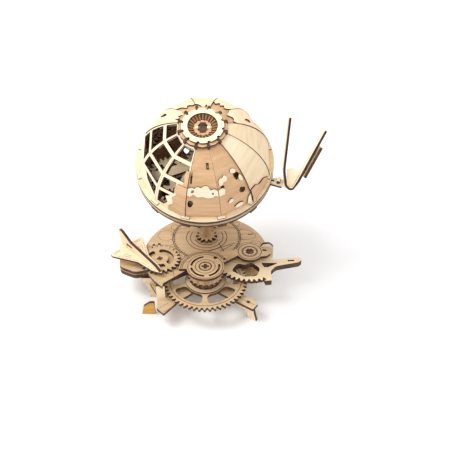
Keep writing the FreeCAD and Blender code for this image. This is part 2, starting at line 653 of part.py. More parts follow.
def gore_shell():
    """One bent skin panel over a twelfth of a hemisphere, as used all round the globe."""
    width = 60                                  # wider than a panel at its foot
    outer = disc("GoreOuter", "globe_radius", width)
    inner = disc("GoreInner", "globe_radius - skin", width)
    for item in (outer, inner):
        move(item, -width / 2, 0, 0, 90, Vector(0, 1, 0))
    shell = cut("GoreShell", outer, [inner])
    wedge = doc.addObject("Part::Wedge", "GoreWedge")
    seam = 0.12                                 # degrees left open on each side of a panel
    slope = math.tan(math.radians(number("gore_angle") / 2 - seam))
    near, far, height = number("polar_hole"), 70.0, 60
    wedge.Ymin, wedge.Ymax = -far, -near
    wedge.Xmin, wedge.Xmax = -far * slope, far * slope
    wedge.X2min, wedge.X2max = -near * slope, near * slope
    wedge.Zmin, wedge.Zmax = MIDDLE_Z, height
    wedge.Z2min, wedge.Z2max = MIDDLE_Z, height
    return shell, wedge


def north_skin():
    """Nine closed panels and three open lattice panels, numbered from the front towards the right."""
    shell, wedge = gore_shell()
    panes = []
    rows = ((14, 25, 12.6), (28, 38, 10.8), (41, 49, 7.4))
    for low, high, half in rows:
        for side in (-1, 1):
            start = 1.2 if side == 1 else -half
            panes.append(block(f"Pane{low}{'LR'[side > 0]}", half - 1.2, 60, high - low, start, -75, low))
    lattice = []
    for index in range(12):
        item = doc.addObject("Part::Common", f"Gore{'ABCDEFGHIJKL'[index]}")
        item.Base = shell
        item.Tool = wedge
        if index < 9:
            publish_globe(item, f"gore_{index + 1:02d}", f"gore_angle * {index}")
        else:
            lattice.append(cut(f"Lattice{index}", item, panes))
            lattice[-1].Placement = FreeCAD.Placement(Vector(), FreeCAD.Rotation(Vector(0, 0, 1), 30 * index))
    publish_globe(join("LatticePanel", lattice), "lattice_panel")


def revolved(name, node, loops):
    """A body turned about the globe's axis from a half section in X and Z."""
    owner = body(name)
    profile = sketch(owner, name + "Section", loops, "XZ_Plane")
    item = owner.newObject("PartDesign::Revolution", name + "Turn")
    item.Profile = profile
    item.ReferenceAxis = (profile, ["V_Axis"])
    item.Angle = 360
    doc.recompute()
    publish_globe(owner, node)


def band(radius, thickness, low, high):
    """The half section of a spherical shell between two angles up from the equator."""
    turns = (low, (low + high) / 2, high)
    outer = [Vector(*polar(radius, turn), 0) for turn in turns]
    inner = [Vector(*polar(radius - thickness, turn), 0) for turn in turns]
    return ("edges", [Part.Arc(*outer), Part.LineSegment(outer[2], inner[2]), Part.Arc(*reversed(inner)),
                      Part.LineSegment(inner[0], outer[0])])


def south_half_and_poles():
    radius = number("globe_radius")
    skin = number("skin")
    equator = math.degrees(math.asin(MIDDLE_Z / (radius - skin)))
    revolved("SouthSkin", "south_skin", [band(radius, skin, -78, -equator)])
    bore = number(AXLE_SLIP)
    revolved("SouthHub", "south_hub", [outline((bore, -64.6), (bore, -54.4), (14.5, -54.4), (14.5, -56.9),
                                               (9, -56.9), (9, -64.6))])
    ring_z = number("polar_ring_z")
    rim = number("polar_ring_radius")
    revolved("PolarRing", "polar_ring", [outline((13.4, ring_z), (rim, ring_z), (rim, ring_z + 5.4),
                                                 (18.4, ring_z + 5.4), (18.4, ring_z + 7.4),
                                                 (13.4, ring_z + 7.4))])
    revolved("PolarCup", "polar_cup", [outline((bore, ring_z - 2.6), (13.2, ring_z + 3.6), (13.2, ring_z + 6.2),
                                               (bore, ring_z + 0.4))])


def ribs():
    """Twelve curved ribs under the seams of each half, tied together at the pole."""
    inner = number("globe_radius - skin")
    root = math.asin(MIDDLE_Z / inner)
    for side, label in ((1, "north"), (-1, "south")):
        pieces = []
        section = band(inner - 0.1, 3.0, side * (math.degrees(root) + 0.05), side * 68.5)[1]
        blank = Part.Face(Part.Wire(Part.__sortEdges__([edge.toShape() for edge in section])))
        for index in range(12):
            rib = blank.extrude(Vector(0, 0, number("skin")))
            rib.translate(Vector(0, 0, -number("skin") / 2))
            rib.rotate(Vector(), Vector(1, 0, 0), 90)
            rib.rotate(Vector(), Vector(0, 0, 1), 15 + 30 * index)
            pieces.append(rib)
        sheet_ply = number("skin")
        height = (inner - 1.5) * math.sin(math.radians(68)) - sheet_ply
        tie = Part.makeCylinder(22.6, sheet_ply, Vector(0, 0, height if side == 1 else -height - sheet_ply))
        bore = Part.makeCylinder(19.4, 10, Vector(0, 0, height - 4 if side == 1 else -height - 5))
        item = doc.addObject("Part::Feature", label.capitalize() + "Ribs")
        item.Shape = pieces[0].multiFuse(pieces[1:] + [tie.cut(bore)]).removeSplitter()
        publish_globe(item, label + "_ribs")


def south_gear():
    gear = spur_gear("SouthGear", "module_table", "south_teeth", AXLE_SLIP, thin=0.62,
                     addendum=0.5, dedendum=1.35)
    publish_globe(gear, "south_gear", -90, Vector(0, 0, -number("south_drop + ply / 2")))


# ---------------------------------------------------------------- the two craft
def shuttle():
    """Delta wing and double keel, drawn with the nose along its own X; it sits on the docking stand."""
    owner = body("ShuttleWing")
    pad(owner, "WingBlank", [outline((50, 0, 1.2), (40, 4.6, 12), (20, 7, 10), (-4, 20, 3), (-9, 19, 2),
                                     (-9, 6, 1), (-13, 4), (-13, -4), (-9, -6, 1), (-9, -19, 2), (-4, -20, 3),
                                     (20, -7, 10), (40, -4.6, 12))], 2)
    pocket(owner, "WingSlot", [outline((-4.3, -1.5), (4.3, -1.5), (4.3, 1.5), (-4.3, 1.5))])
    publish(owner, "shuttle_wing", *DOCK, "dock_z", number("dock_turn"))
    keel = [outline((-13, 0), (-4.4, 0), (-4.4, 6), (4.4, 6), (4.4, 0), (47, 0, 0), (40, 3.6, 10),
                    (18, 7.2, 20), (2, 9.4, 8), (-11, 17, 1.5), (-16, 17.5, 1))]
    owner = body("ShuttleKeel")
    pad(owner, "KeelBlank", keel, "2 * skin", "-skin", plane="XZ_Plane")
    publish(owner, "shuttle_keel", *DOCK, "dock_z + 2", number("dock_turn"))


def craft():
    """The winged craft on the orbit ring: a tall wing bent in a U with bulkhead and lug, and an outer panel."""
    seat = number("craft_seat")
    turn = number("bracket_angle - 90")
    tilt = FreeCAD.Rotation(Vector(1, 0, 0), number("tilt"))
    centre = Vector(-number("origin_x"), number("spindle_y - origin_y"), number("globe_z"))
    joint = centre + tilt.multVec(Vector(*polar(seat + 6.5, turn), number("ply / 2") + 1))
    lean = FreeCAD.Rotation(Vector(1, 0, 0), number("craft_lean"))
    keel = joint - lean.multVec(Vector(-5.6, 0, 5.2))      # the lowest point of the bent wing
    placement = FreeCAD.Placement(keel, lean)

    lug = body("CraftLug")
    near, far = seat - 4, seat + 10
    pad(lug, "LugBlank", [outline((near, -3.5), (far, -3.5), (far, 3.5), (near, 3.5))], 2, "ply / 2")
    pocket(lug, "LugSlot", [outline((seat - 1.65, -2.7), (seat + 1.65, -2.7), (seat + 1.65, 2.7),
                                    (seat - 1.65, 2.7))])
    lug.Placement = FreeCAD.Placement(centre, tilt * FreeCAD.Rotation(Vector(0, 0, 1), turn))

    bent = body("CraftBentWing")
    pad(bent, "WingsBlank", [outline((-4.2, 68), (-8.4, 20, 30), (-6.6, 4, 8), (0, -1.4, 4), (7, 8, 14),
                                     (30.6, 55.6), (28.6, 56.6), (5, 9.4, 12), (0, 1.2, 2.4), (-4.4, 5, 6),
                                     (-6.2, 20, 28), (-2, 68))],
        "craft_depth", "-craft_depth / 2", plane="XZ_Plane")
    bent.Placement = placement
    owner = body("CraftPanel")
    pad(owner, "PanelBlank", [outline((10.9, 12.6), (25.2, 40.8), (27.6, 39.6), (13.3, 11.4))],
        "craft_depth - 3", "(3 - craft_depth) / 2", plane="XZ_Plane")
    owner.Label = "craft_panel"
    owner.Placement = placement
    sub_parts.append(owner)

    bulkhead = body("CraftBulkhead")
    pad(bulkhead, "BulkheadBlank", [outline((-4.3, 19), (-4.4, 5, 3), (0, 1.6, 2), (4.2, 9.6, 9), (7.4, 15.8),
                                            (2.6, 20.6, 6))],
        3, "-1.5", plane="XZ_Plane")
    bulkhead.Placement = placement
    wings = join("CraftWings", [bent, lug, bulkhead])
    wings.Label = "craft_wings"
    sub_parts.append(wings)


# ---------------------------------------------------------------- build, check and export
for build in (lower_plate, top_plate, overlay_plate, legs_and_walls, docking_pad, pedestal, fixed_axles,
              lever, drive_pinion, main_shaft, spindle, crescent, equator_rings, planets, orbit_ring,
              craft_bracket, north_skin, south_half_and_poles, ribs, south_gear, shuttle, craft):
    build()
doc.recompute()

for item in doc.Objects:
    if "Invalid" in item.State or "Error" in item.State:
        raise RuntimeError(f"{item.Name} failed: {item.State}")
for item in sub_parts:
    if item.Shape.isNull() or not item.Shape.isValid():
        raise RuntimeError(f"{item.Label} has no valid shape")

os.makedirs("parts", exist_ok=True)
for item in sub_parts:
    item.Shape.exportStep(os.path.join("parts", item.Label + ".step"))

whole = FreeCAD.BoundBox()
for item in sub_parts:
    whole.add(item.Shape.BoundBox)
print(f"{len(sub_parts)} sub-parts")
print(f"size {whole.XLength:.2f} x {whole.YLength:.2f} x {whole.ZLength:.2f} mm")
print(f"middle {whole.Center.x:.3f} {whole.Center.y:.3f}, lowest {whole.ZMin:.3f}")
print(f"lever axis {LEVER[0]:.3f} {LEVER[1]:.3f}, crescent axis {CRESCENT[0]:.3f} {CRESCENT[1]:.3f}")
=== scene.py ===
import bpy
import bmesh
import json
import math
import random
from mathutils import Matrix, Vector, geometry


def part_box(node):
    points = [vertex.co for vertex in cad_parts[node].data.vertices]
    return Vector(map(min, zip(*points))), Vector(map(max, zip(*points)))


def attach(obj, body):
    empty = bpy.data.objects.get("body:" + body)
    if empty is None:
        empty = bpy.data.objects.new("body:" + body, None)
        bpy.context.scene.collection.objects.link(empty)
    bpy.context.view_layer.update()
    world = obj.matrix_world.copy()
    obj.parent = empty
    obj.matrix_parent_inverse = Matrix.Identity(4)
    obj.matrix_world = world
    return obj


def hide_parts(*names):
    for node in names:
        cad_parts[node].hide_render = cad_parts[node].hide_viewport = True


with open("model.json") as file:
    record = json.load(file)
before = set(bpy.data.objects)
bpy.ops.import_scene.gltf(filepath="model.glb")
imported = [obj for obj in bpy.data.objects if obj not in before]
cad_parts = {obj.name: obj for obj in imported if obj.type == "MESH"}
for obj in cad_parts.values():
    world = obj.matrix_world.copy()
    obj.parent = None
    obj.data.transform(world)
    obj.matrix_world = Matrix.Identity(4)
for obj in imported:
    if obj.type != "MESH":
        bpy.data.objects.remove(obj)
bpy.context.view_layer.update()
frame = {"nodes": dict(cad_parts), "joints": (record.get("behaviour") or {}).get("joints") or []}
mm = 0.001
joints = {joint["name"]: joint for joint in frame["joints"]}
print("frame loaded:", len(frame["nodes"]), "nodes")


# where things are, all read from the frame
def jointPlace(name):
    return Vector(joints[name]["pos_m"])


def topOf(node):
    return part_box(node)[1].z


def bottomOf(node):
    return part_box(node)[0].z


mainAxle = jointPlace("main_spin")
spindleAxle = jointPlace("spindle_spin")
crescentAxle = jointPlace("crescent_spin")
leverAxle = jointPlace("lever_swing")
globeCentre = jointPlace("globe_spin")
globeAxis = Vector(joints["globe_spin"]["axis"]).normalized()
globeBack = globeAxis.cross(Vector((1, 0, 0))).normalized()
globeTurn = Matrix((Vector((1, 0, 0)), globeBack, globeAxis)).transposed().to_4x4()
globePlace = Matrix.Translation(globeCentre) @ globeTurn


def flatPlace(x, y, z, turn=0):  # metres, and degrees about +Z
    return Matrix.Translation((x, y, z)) @ Matrix.Rotation(math.radians(turn), 4, "Z")


# shaders
class Signal:  # one output of a node, which can be used in sums
    def __init__(self, shader, socket):
        self.shader = shader
        self.socket = socket

    def math(self, operation, other=None, swap=False, clamp=False):
        pair = [self, other] if not swap else [other, self]
        sockets = {index: value for index, value in enumerate(pair) if value is not None}
        return self.shader.node("Math", {"operation": operation, "use_clamp": clamp}, sockets)

    def __add__(self, other):
        return self.math("ADD", other)

    def __mul__(self, other):
        return self.math("MULTIPLY", other)

    def __sub__(self, other):
        return self.math("SUBTRACT", other)

    def __rsub__(self, other):
        return self.math("SUBTRACT", other, swap=True)

    __radd__ = __add__
    __rmul__ = __mul__

    def over(self, edge):
        return self.math("GREATER_THAN", edge)

    def clamped(self):
        return self.math("MAXIMUM", 0.0, clamp=True)


class Shader:
    def __init__(self, name):
        self.material = bpy.data.materials.new(name)
        self.material.use_nodes = True
        self.tree = self.material.node_tree
        self.tree.nodes.clear()

    def node(self, kind, settings=None, sockets=None, output=0):
        made = self.tree.nodes.new("ShaderNode" + kind)
        for key, value in (settings or {}).items():
            if key != "stops":
                setattr(made, key, value)
                continue
            ramp = made.color_ramp
            while len(ramp.elements) < len(value):
                ramp.elements.new(0.5)
            for element, (place, colour) in zip(ramp.elements, value):
                element.position = place
                element.color = (*colour, 1)
        for key, value in (sockets or {}).items():
            self.feed(made.inputs[key], value)
        return Signal(self, made.outputs[output] if made.outputs else made)

    def feed(self, socket, value):
        if isinstance(value, Signal):
            self.tree.links.new(value.socket, socket)
        elif isinstance(value, tuple) and len(value) == 3 and socket.type == "RGBA":
            socket.default_value = (*value, 1)
        else:
            socket.default_value = value

    def blend(self, factor, first, second, mode="MIX"):
        sockets = {"Factor": factor, 6: first, 7: second}
        return self.node("Mix", {"data_type": "RGBA", "blend_type": mode}, sockets, output=2)

    def noise(self, vector, scale, detail=3.0, roughness=0.55, size=(1, 1, 1), turn=0.0, shift=(0, 0, 0)):
        placed = self.node("Mapping", {}, {"Vector": vector, "Scale": size, "Rotation": (0, 0, turn),
                                           "Location": shift})
        return self.node("TexNoise", {}, {"Vector": placed, "Scale": scale, "Detail": detail,
                                          "Roughness": roughness})

    def along(self, vector, axis):  # how far a vector reaches along an axis
        return self.node("VectorMath", {"operation": "DOT_PRODUCT"}, {0: vector, 1: tuple(axis)}, output=1)

    def finish(self, colour, roughness, height=None, relief=0.0002, strength=0.6):
        body = self.node("BsdfPrincipled", {}, {"Base Color": colour, "Roughness": roughness})
        if height is not None:
            bump = self.node("Bump", {}, {"Height": height, "Distance": relief, "Strength": strength})
            self.feed(body.socket.node.inputs["Normal"], bump)
        self.node("OutputMaterial", {}, {"Surface": body})
        return self.material


plywood = {
    "face": ((0.70, 0.515, 0.300), (0.83, 0.665, 0.445), (0.90, 0.765, 0.565)),
    "board": ((0.47, 0.310, 0.160), (0.60, 0.430, 0.255), (0.70, 0.540, 0.350)),
    "tan": ((0.500, 0.285, 0.135), (0.640, 0.395, 0.210), (0.735, 0.500, 0.300)),
    "cream": ((0.78, 0.62, 0.40), (0.88, 0.74, 0.53), (0.93, 0.83, 0.66)),
    "cup": ((0.18, 0.070, 0.024), (0.34, 0.150, 0.052), (0.50, 0.260, 0.105)),
    "burnt": ((0.022, 0.007, 0.003), (0.075, 0.028, 0.011), (0.165, 0.072, 0.031)),
    "plies": 3, "sheet": 3.0,
}


def woodFace(shader, coords, colours, grain=0.0, seed=0.0):  # grain along one way, clouds and short pores
    along = shader.noise(coords, 260, 5, 0.6, size=(0.09, 1, 1), turn=grain, shift=(seed, seed, 0))
    clouds = shader.noise(coords, 26, 2, 0.5, size=(0.5, 1, 1), turn=grain, shift=(seed, 0, 0))
    pores = shader.noise(coords, 900, 2, 0.5, size=(0.05, 1, 1), turn=grain, shift=(0, seed, 0))
    tone = (along * 0.62 + clouds * 0.48 - 0.05).clamped()
    stops = list(zip((0.30, 0.52, 0.74), colours))
    colour = shader.node("ValToRGB", {"stops": stops}, {"Fac": tone})
    dark = ((pores - 0.60) * 3.0).clamped() * 0.32
    colour = shader.blend(dark, colour, tuple(channel * 0.55 for channel in colours[0]), "MIX")
    return colour, along


def burntEdge(shader, coords, axis=None, seed=0.0):
    smoke = shader.noise(coords, 180, 4, 0.6, shift=(seed, 0, 0))
    tone = smoke
    if axis is not None:
        height = shader.along(coords, axis)
        layers = (height * (2 * math.pi / (plywood["sheet"] * mm) * plywood["plies"] / 2)).math("SINE")
        tone = smoke * 0.75 + layers * 0.12 + 0.10
    stops = list(zip((0.34, 0.50, 0.72), plywood["burnt"]))
    return shader.node("ValToRGB", {"stops": stops}, {"Fac": tone})


def plateWood(name, axis, colours="face", grain=0.3, seed=0.0, middle=None):  # pale faces, burnt cut edges
    shader = Shader(name)
    coords = shader.node("TexCoord", {}, {}, output=3)
    normal = shader.node("TexCoord", {}, {}, output=1)
    upright = Vector((0, 0, 1)).rotation_difference(Vector(axis)).inverted().to_euler()
    lying = shader.node("Mapping", {"vector_type": "POINT"}, {"Vector": coords, "Rotation": tuple(upright)})
    facing = shader.along(normal, axis)
    face = facing.math("ABSOLUTE").over(0.72)
    if middle is not None:                      # a bent sheet is cut across the axis; a thin web stays pale
        reach = shader.along(coords, axis)
        web = 1.0 - (reach - middle).math("ABSOLUTE").over(2.6 * mm)
        face = (1.0 - face + web).clamped()
    pale, along = woodFace(shader, lying, plywood[colours], grain, seed)
    edge = burntEdge(shader, coords, axis, seed)
    colour = shader.blend(face, edge, pale)
    rough = 0.78 - along * 0.22
    return shader.finish(colour, rough, along, relief=0.00012, strength=0.5)


def sheetWood(name, colours="tan", grain=0.0, seed=0.0):  # for bent sheets with a UV map in metres
    shader = Shader(name)
    place = shader.node("UVMap", {"uv_map": "wood"}, {})
    pale, along = woodFace(shader, place, plywood[colours], grain, seed)
    return shader.finish(pale, 0.74 - along * 0.2, along, relief=0.0001, strength=0.5)


def edgeWood(name, seed=0.0):
    shader = Shader(name)
    coords = shader.node("TexCoord", {}, {}, output=3)
    colour = burntEdge(shader, coords, None, seed)
    smoke = shader.noise(coords, 700, 3, 0.6)
    return shader.finish(colour, 0.82 - smoke * 0.2, smoke, relief=0.0001, strength=0.4)


def rodWood(name, axis):
    shader = Shader(name)
    coords = shader.node("TexCoord", {}, {}, output=3)
    upright = Vector((0, 0, 1)).rotation_difference(Vector(axis)).inverted().to_euler()
    lying = shader.node("Mapping", {"vector_type": "POINT"}, {"Vector": coords, "Rotation": tuple(upright)})
    fibres = shader.noise(lying, 300, 4, 0.6, size=(1, 1, 0.06))
    stops = [(0.3, (0.30, 0.16, 0.075)), (0.7, (0.58, 0.38, 0.20))]
    colour = shader.node("ValToRGB", {"stops": stops}, {"Fac": fibres})
    return shader.finish(colour, 0.7 - fibres * 0.15, fibres, relief=0.0001)


def paintedGlowWood(name, axis):
    # the foot pad's faces are its plywood pushed to a bright orange: painted glow
    shader = Shader(name)
    coords = shader.node("TexCoord", {}, {}, output=3)
    normal = shader.node("TexCoord", {}, {}, output=1)
    facing = shader.along(normal, axis)
    face = facing.math("ABSOLUTE").over(0.72)
    fibres = shader.noise(coords, 260, 4, 0.6, size=(0.12, 1, 1))
    stops = [(0.3, (0.42, 0.20, 0.035)), (0.6, (0.68, 0.36, 0.07)), (0.8, (0.80, 0.52, 0.16))]
    pale = shader.node("ValToRGB", {"stops": stops}, {"Fac": fibres})
    colour = shader.blend(face, burntEdge(shader, coords, None, 3.0), pale)
    return shader.finish(colour, 0.62 - fibres * 0.15, fibres, relief=0.0001)


def floorPaint():
    shader = Shader("PaleFloor")
    coords = shader.node("TexCoord", {}, {}, output=3)
    cloud = shader.noise(coords, 3, 2)
    stops = [(0.3, (0.86, 0.86, 0.87)), (0.7, (0.89, 0.89, 0.895))]
    colour = shader.node("ValToRGB", {"stops": stops}, {"Fac": cloud})
    return shader.finish(colour, 0.7 - cloud * 0.05)


woods = {
    "table": plateWood("TablePly", (0, 0, 1), "board", 0.35),
    "gear": plateWood("GearPly", (0, 0, 1), "board", 1.25, 3.1),
    "lever": plateWood("LeverPly", (0, 0, 1), "face", 0.15, 5.2),
    "spool": plateWood("SpoolPly", (0, 0, 1), "board", 0.9, 7.7),
    "globe": plateWood("GlobePly", globeAxis, "face", 0.6, 2.4),
    "rod": rodWood("TurnedRod", (0, 0, 1)),
    "globeRod": rodWood("GlobeRod", globeAxis),
    "tan": sheetWood("TanSheet", "tan", math.pi / 2, 1.0),
    "rib": plateWood("RibPly", globeAxis, "cream", 0.4, 9.0),
    "pale": sheetWood("PaleSheet", "face", math.pi / 2, 4.0),
    "cream": sheetWood("CreamSheet", "cream", math.pi / 2, 8.0),
    "cup": sheetWood("CupSheet", "cup", 0.0, 2.0),
    "burnt": edgeWood("BurntEdge"),
    # dark lines: burnt engravings, and also the painted shadow lines on the table
    "engraved_and_shadow": edgeWood("EngravedAndShadowLine", 6.0),
}
print("materials ready")


# meshes
def pieceFrom(mesh, name, materials, body, replaced=()):
    piece = bpy.data.objects.new(name, mesh)
    bpy.context.scene.collection.objects.link(piece)
    faces = [polygon.material_index for polygon in mesh.polygons]
    mesh.materials.clear()                      # this also sets every face back to the first material
    for material in materials:
        mesh.materials.append(material)
    mesh.polygons.foreach_set("material_index", faces)
    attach(piece, body)
    if replaced:
        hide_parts(*replaced)
    return piece


def settled(mesh, modifiers):  # what the modifiers make, as a plain mesh
    holder = bpy.data.objects.new("holder", mesh)
    bpy.context.scene.collection.objects.link(holder)
    for kind, settings in modifiers:
        modifier = holder.modifiers.new(kind.title(), kind)
        for key, value in settings.items():
            setattr(modifier, key, value)
    view = bpy.context.evaluated_depsgraph_get()
    made = bpy.data.meshes.new_from_object(holder.evaluated_get(view))
    bpy.data.objects.remove(holder)
    return made


def shaded(mesh, angle=30):
    for polygon in mesh.polygons:
        polygon.use_smooth = True
    mesh.set_sharp_from_angle(angle=math.radians(angle))
    return mesh


def panelMesh(loops, mapping, steps, uv, thickness, name="panel"):  # rim and holes, bent and thickened
    points = [Vector((u, v, 0)) for loop in loops for u, v in loop]
    triangles = geometry.tessellate_polygon([[Vector((u, v, 0)) for u, v in loop] for loop in loops])
    build = bmesh.new()
    corners = [build.verts.new(point) for point in points]
    for triangle in triangles:
        if len(set(triangle)) == 3:
            build.faces.new([corners[index] for index in triangle])
    bmesh.ops.dissolve_limit(build, angle_limit=0.01, verts=build.verts, edges=build.edges)
    for axis, step in enumerate(steps):
        if step == 0:
            continue
        values = [point[axis] for point in points]
        cut = math.floor(min(values) / step) * step + step
        while cut < max(values):
            place = Vector((0, 0, 0))
            place[axis] = cut
            normal = Vector((0, 0, 0))
            normal[axis] = 1
            everything = build.verts[:] + build.edges[:] + build.faces[:]
            bmesh.ops.bisect_plane(build, geom=everything, plane_co=place, plane_no=normal, dist=1e-4)
            cut += step
    bmesh.ops.triangulate(build, faces=build.faces)
    bmesh.ops.recalc_face_normals(build, faces=build.faces)
    if build.faces and sum(face.normal.z for face in build.faces) < 0:
        bmesh.ops.reverse_faces(build, faces=build.faces)
    layer = build.loops.layers.uv.new("wood")
    for face in build.faces:
        for corner in face.loops:
            corner[layer].uv = uv(corner.vert.co.x, corner.vert.co.y)
    for vertex in build.verts:
        vertex.co = mapping(vertex.co.x, vertex.co.y)
    mesh = bpy.data.meshes.new(name)
    build.to_mesh(mesh)
    build.free()
    solid = {"thickness": thickness, "offset": -1.0, "use_rim": True, "material_offset_rim": 1}
    mesh.materials.append(woods["pale"])
    mesh.materials.append(woods["burnt"])
    return shaded(settled(mesh, [("SOLIDIFY", solid)]))


def joined(meshes, name):
    build = bmesh.new()
    for mesh in meshes:
        build.from_mesh(mesh)
    whole = bpy.data.meshes.new(name)
    build.to_mesh(whole)
    build.free()
    return shaded(whole)


def ribbonMesh(lines, place, width, lift=0.035, name="lines"):  # in millimetres; closed if the ends meet
    build = bmesh.new()
    for line in lines:
        closed = (Vector(line[0]) - Vector(line[-1])).length < 1e-6
        points = [Vector((*point[:2], 0)) for point in (line[:-1] if closed else line)]
        count = len(points)
        rows = []
        for index, point in enumerate(points):
            before = points[index - 1] if closed or index > 0 else point
            after = points[(index + 1) % count] if closed or index + 1 < count else point
            along = (after - before).normalized()
            side = Vector((-along.y, along.x, 0)) * width / 2
            rise = Vector((0, 0, lift))
            rows.append([build.verts.new((place @ ((point + offset) * mm)))
                         for offset in (side, side + rise, rise - side, -side)])
        spans = range(count if closed else count - 1)
        for index in spans:
            here, ahead = rows[index], rows[(index + 1) % count]
            for corner in range(4):
                after = (corner + 1) % 4
                build.faces.new((here[corner], here[after], ahead[after], ahead[corner]))
        if not closed:
            build.faces.new(list(reversed(rows[0])))
            build.faces.new(rows[-1])
    bmesh.ops.recalc_face_normals(build, faces=build.faces)
    mesh = bpy.data.meshes.new(name)
    build.to_mesh(mesh)
    build.free()
    return mesh


def arcLine(radius, first=0.0, last=360.0, centre=(0, 0), step=5.0):
    count = max(3, int(abs(last - first) / step))
    line = []
    for index in range(count + 1):
        turn = math.radians(first + (last - first) * index / count)
        line.append((centre[0] + radius * math.cos(turn), centre[1] + radius * math.sin(turn)))
    if abs(last - first) >= 360:
        line[-1] = line[0]
    return line


def rayLine(inner, outer, turn, centre=(0, 0)):
    turn = math.radians(turn)
    return [(centre[0] + reach * math.cos(turn), centre[1] + reach * math.sin(turn))
            for reach in (inner, outer)]


# dark line marks: burnt engravings, and also the painted shadow lines on the table
def drawLineMarks(name, body, lines, place, width=0.4):
    mesh = ribbonMesh(lines, place, width, name=name)
    return pieceFrom(mesh, name, [woods["engraved_and_shadow"]], body)


# blocks set in a ring, by geometry nodes
def ringTree():
    tree = bpy.data.node_groups.new("RingOfBlocks", "GeometryNodeTree")
    wanted = (("Count", "NodeSocketInt", 12), ("Radius", "NodeSocketFloat", 0.06),
              ("Start", "NodeSocketFloat", 0.0), ("Step", "NodeSocketFloat", 0.5),
              ("Size", "NodeSocketVector", (0.002, 0.006, 0.002)),
              ("Height", "NodeSocketFloat", 0.0), ("Lean", "NodeSocketFloat", 0.0),
              ("Jitter", "NodeSocketFloat", 0.0), ("Seed", "NodeSocketInt", 1),
              ("Material", "NodeSocketMaterial", None))
    for name, kind, value in wanted:
        socket = tree.interface.new_socket(name=name, in_out="INPUT", socket_type=kind)
        if value is not None:
            socket.default_value = value
    tree.interface.new_socket(name="Geometry", in_out="OUTPUT", socket_type="NodeSocketGeometry")

    def node(kind, settings=None, sockets=None):
        made = tree.nodes.new(kind)
        for key, value in (settings or {}).items():
            setattr(made, key, value)
        for key, value in (sockets or {}).items():
            if isinstance(value, bpy.types.NodeSocket):
                tree.links.new(value, made.inputs[key])
            else:
                made.inputs[key].default_value = value
        return made.outputs[0] if made.outputs else None

    given = tree.nodes.new("NodeGroupInput").outputs
    index = node("GeometryNodeInputIndex")
    swing = node("ShaderNodeMath", {"operation": "MULTIPLY_ADD"},
                 {0: index, 1: given["Step"], 2: given["Start"]})
    cosine = node("ShaderNodeMath", {"operation": "COSINE"}, {0: swing})
    sine = node("ShaderNodeMath", {"operation": "SINE"}, {0: swing})
    east = node("ShaderNodeMath", {"operation": "MULTIPLY"}, {0: cosine, 1: given["Radius"]})
    north = node("ShaderNodeMath", {"operation": "MULTIPLY"}, {0: sine, 1: given["Radius"]})
    place = node("ShaderNodeCombineXYZ", {}, {0: east, 1: north, 2: given["Height"]})
    points = node("GeometryNodePoints", {}, {"Count": given["Count"], "Position": place})
    blockMesh = node("GeometryNodeMeshCube", {}, {"Size": given["Size"]})
    turn = node("ShaderNodeCombineXYZ", {}, {1: given["Lean"], 2: swing})
    low = node("ShaderNodeMath", {"operation": "SUBTRACT"}, {0: 1.0, 1: given["Jitter"]})
    spread = tree.nodes.new("FunctionNodeRandomValue")
    tree.links.new(low, spread.inputs[2])
    spread.inputs[3].default_value = 1.0
    tree.links.new(given["Seed"], spread.inputs["Seed"])
    stretch = node("ShaderNodeCombineXYZ", {}, {0: spread.outputs[1], 1: 1.0, 2: 1.0})
    copies = node("GeometryNodeInstanceOnPoints", {},
                  {"Points": points, "Instance": blockMesh, "Rotation": turn, "Scale": stretch})
    real = node("GeometryNodeRealizeInstances", {}, {"Geometry": copies})
    dressed = node("GeometryNodeSetMaterial", {}, {"Geometry": real, "Material": given["Material"]})
    tree.links.new(dressed, tree.nodes.new("NodeGroupOutput").inputs["Geometry"])
    return tree


ringOfBlocks = ringTree()


def ringMesh(place, settings, material):  # lengths in millimetres and angles in degrees
    holder = bpy.data.objects.new("ring", bpy.data.meshes.new("ring"))
    bpy.context.scene.collection.objects.link(holder)
    modifier = holder.modifiers.new("Ring", "NODES")
    modifier.node_group = ringOfBlocks
    values = {"Count": settings["count"], "Radius": settings["radius"] * mm,
              "Start": math.radians(settings.get("start", 0)),
              "Step": math.radians(settings.get("step", 360 / settings["count"])),
              "Size": [side * mm for side in settings["size"]], "Height": settings.get("height", 0) * mm,
              "Lean": math.radians(settings.get("lean", 0)), "Jitter": settings.get("jitter", 0.0),
              "Seed": settings.get("seed", 1), "Material": material}
    for item in ringOfBlocks.interface.items_tree:
        if item.in_out == "INPUT":
            modifier[item.identifier] = values[item.name]
    view = bpy.context.evaluated_depsgraph_get()
    made = bpy.data.meshes.new_from_object(holder.evaluated_get(view))
    holder.modifiers.remove(modifier)
    bpy.data.objects.remove(holder)
    made.transform(place)
    return made


# the globe's skin
skin = {"radius": 60.5, "sheet": 1.5, "overlay": 1.3, "step": 4.0, "half": 14.85,
        "foot": 4.75, "poleEdge": 70.6}


def goreMap(index, radius):  # longitude from the panel's middle, and latitude, in degrees
    turn = globePlace @ Matrix.Rotation(math.radians(30 * index), 4, "Z")

    def mapping(longitude, latitude):
        reach = radius * math.cos(math.radians(latitude))
        height = radius * math.sin(math.radians(latitude))
        return turn @ (Vector((reach * math.tan(math.radians(longitude)), -reach, height)) * mm)
    return mapping


def goreUv(index, radius):
    def uv(longitude, latitude):
        return (radius * mm * math.radians(longitude) + index * 0.05, radius * mm * math.radians(latitude))
    return uv


def goreRim(low, high, half):  # the outline of one panel
    side = [low + (high - low) * row / 12 for row in range(13)]
    return [(-half, row) for row in side][::-1] + [(half, row) for row in side]


def goreMesh(index, loops, radius, thickness=None):
    return panelMesh(loops, goreMap(index, radius), (5.0, skin["step"]), goreUv(index, radius),
                     (thickness or skin["sheet"]) * mm)


